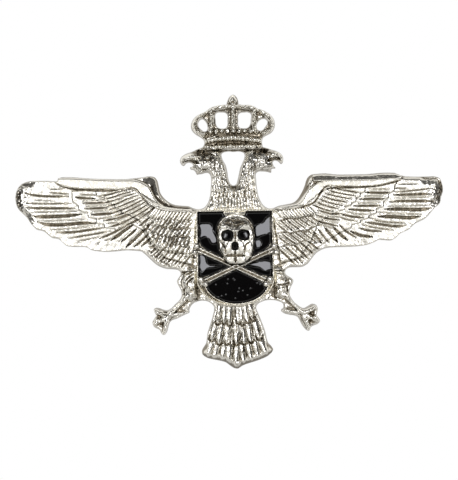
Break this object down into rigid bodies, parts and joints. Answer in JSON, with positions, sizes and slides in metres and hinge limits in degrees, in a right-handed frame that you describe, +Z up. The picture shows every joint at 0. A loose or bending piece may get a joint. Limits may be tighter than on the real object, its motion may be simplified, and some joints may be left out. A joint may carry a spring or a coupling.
{
  "type": "cap badge",
  "caption": "Double-headed eagle cap badge in plated casting, with a black enamel shield, skull and crossed bones, held on by threaded posts and round nuts.",
  "frame": {"origin": "on the eagle's flat back, on the centre line through the crown's finial, the skull and the tail's tip, 2 mm below the height of the two posts", "axes": "+X along the wings, towards the wing that is on the right seen from the front; +Z up, towards the crown; the front faces -Y, and the posts point to +Y"},
  "size_m": [0.0703, 0.0172, 0.045],
  "materials": {
    "casting": "nickel-silver plate on a cast zinc body, polished high spots, dark recesses, slight casting pits",
    "shield": "the same plate, polished rim",
    "bones": "bright plate, darkened in the grooves",
    "enamel": "black vitreous enamel, glossy, slightly wavy",
    "rivet": "flush, filed flat",
    "post": "turned and threaded brass, dull",
    "washer": "stamped, lightly brushed",
    "nut": "turned brass with a knurled edge"
  },
  "bodies": {
    "badge": {"eagle_casting": "casting", "shield_tray": "shield", "crossbones": "bones", "skull": "bones", "enamel_chief_left": "enamel", "enamel_chief_right": "enamel", "enamel_flank_left": "enamel", "enamel_flank_right": "enamel", "enamel_base": "enamel", "enamel_eye_left": "enamel", "enamel_eye_right": "enamel", "enamel_nose": "enamel", "shield_rivet_upper": "rivet", "shield_rivet_lower": "rivet", "stud_left": "post", "stud_right": "post"},
    "washer_left": {"washer_left": "washer"},
    "nut_left": {"nut_left": "nut"},
    "washer_right": {"washer_right": "washer"},
    "nut_right": {"nut_right": "nut"}
  },
  "joints": [
    {"name": "travel_left", "type": "slide", "parent": "badge", "child": "washer_left", "axis": [0, 1, 0], "range_m": [-0.0045, 0.006]},
    {"name": "spin_left", "type": "hinge", "parent": "washer_left", "child": "nut_left", "pos_m": [-0.0175, 0.0065, 0.002], "axis": [0, 1, 0], "range_deg": [-3241, 4321]},
    {"name": "travel_right", "type": "slide", "parent": "badge", "child": "washer_right", "axis": [0, 1, 0], "range_m": [-0.0045, 0.006]},
    {"name": "spin_right", "type": "hinge", "parent": "washer_right", "child": "nut_right", "pos_m": [0.0175, 0.0065, 0.002], "axis": [0, 1, 0], "range_deg": [-3241, 4321]}
  ],
  "couplings": [
    {"joint": "spin_left", "follows": "travel_left", "rad_per_m": 12566},
    {"joint": "spin_right", "follows": "travel_right", "rad_per_m": 12566}
  ]
}
